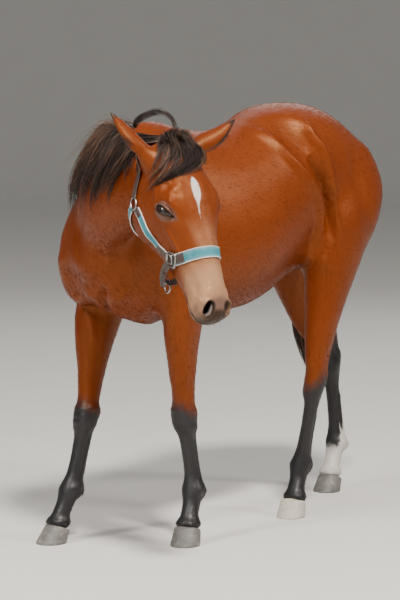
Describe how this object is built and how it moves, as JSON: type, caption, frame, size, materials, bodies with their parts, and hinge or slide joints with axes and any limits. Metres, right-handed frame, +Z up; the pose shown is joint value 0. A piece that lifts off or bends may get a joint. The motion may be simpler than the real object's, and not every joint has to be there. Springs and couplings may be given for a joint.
{
  "type": "horse",
  "caption": "Life-size still horse: a lean bay youngster in a halter, standing with one hind leg stepped forward under the belly and its head turned to look at the viewer.",
  "frame": {"origin": "centre of the bounding box's footprint, on the floor", "axes": "+X the way the body faces, +Y towards the horse's left, +Z up"},
  "size_m": [1.702, 1.0064, 1.4304],
  "materials": {
    "coat": "short glossy bay hair",
    "points": "short black hair",
    "hair": "coarse dark brown hair",
    "hoof": "dull ringed horn",
    "eye": "wet and glossy",
    "webbing": "woven band",
    "leather": "oiled",
    "metal": "worn satin"
  },
  "bodies": {
    "root": {"head": "coat", "neck": "coat", "trunk": "coat", "foreleg_left_upper": "coat", "foreleg_right_upper": "coat", "hindleg_left_upper": "coat", "hindleg_right_upper": "coat", "foreleg_left_lower": "points", "foreleg_right_lower": "points", "hindleg_left_lower": "points", "hindleg_right_lower": "points", "hoof_fore_left": "hoof", "hoof_fore_right": "hoof", "hoof_hind_left": "hoof", "hoof_hind_right": "hoof", "ear_left": "coat", "ear_right": "coat", "eye_left": "eye", "eye_right": "eye", "mane": "hair", "forelock": "hair", "tail": "hair", "halter_strap_cheek_left": "webbing", "halter_strap_cheek_right": "webbing", "halter_noseband": "webbing", "halter_strap_throat": "webbing", "halter_strap_crown": "webbing", "halter_strap_chin": "leather", "halter_ring_cheek_left": "metal", "halter_ring_cheek_right": "metal", "halter_ring_nose_left": "metal", "halter_ring_nose_right": "metal", "halter_ring_chin": "metal"}
  },
  "joints": []
}
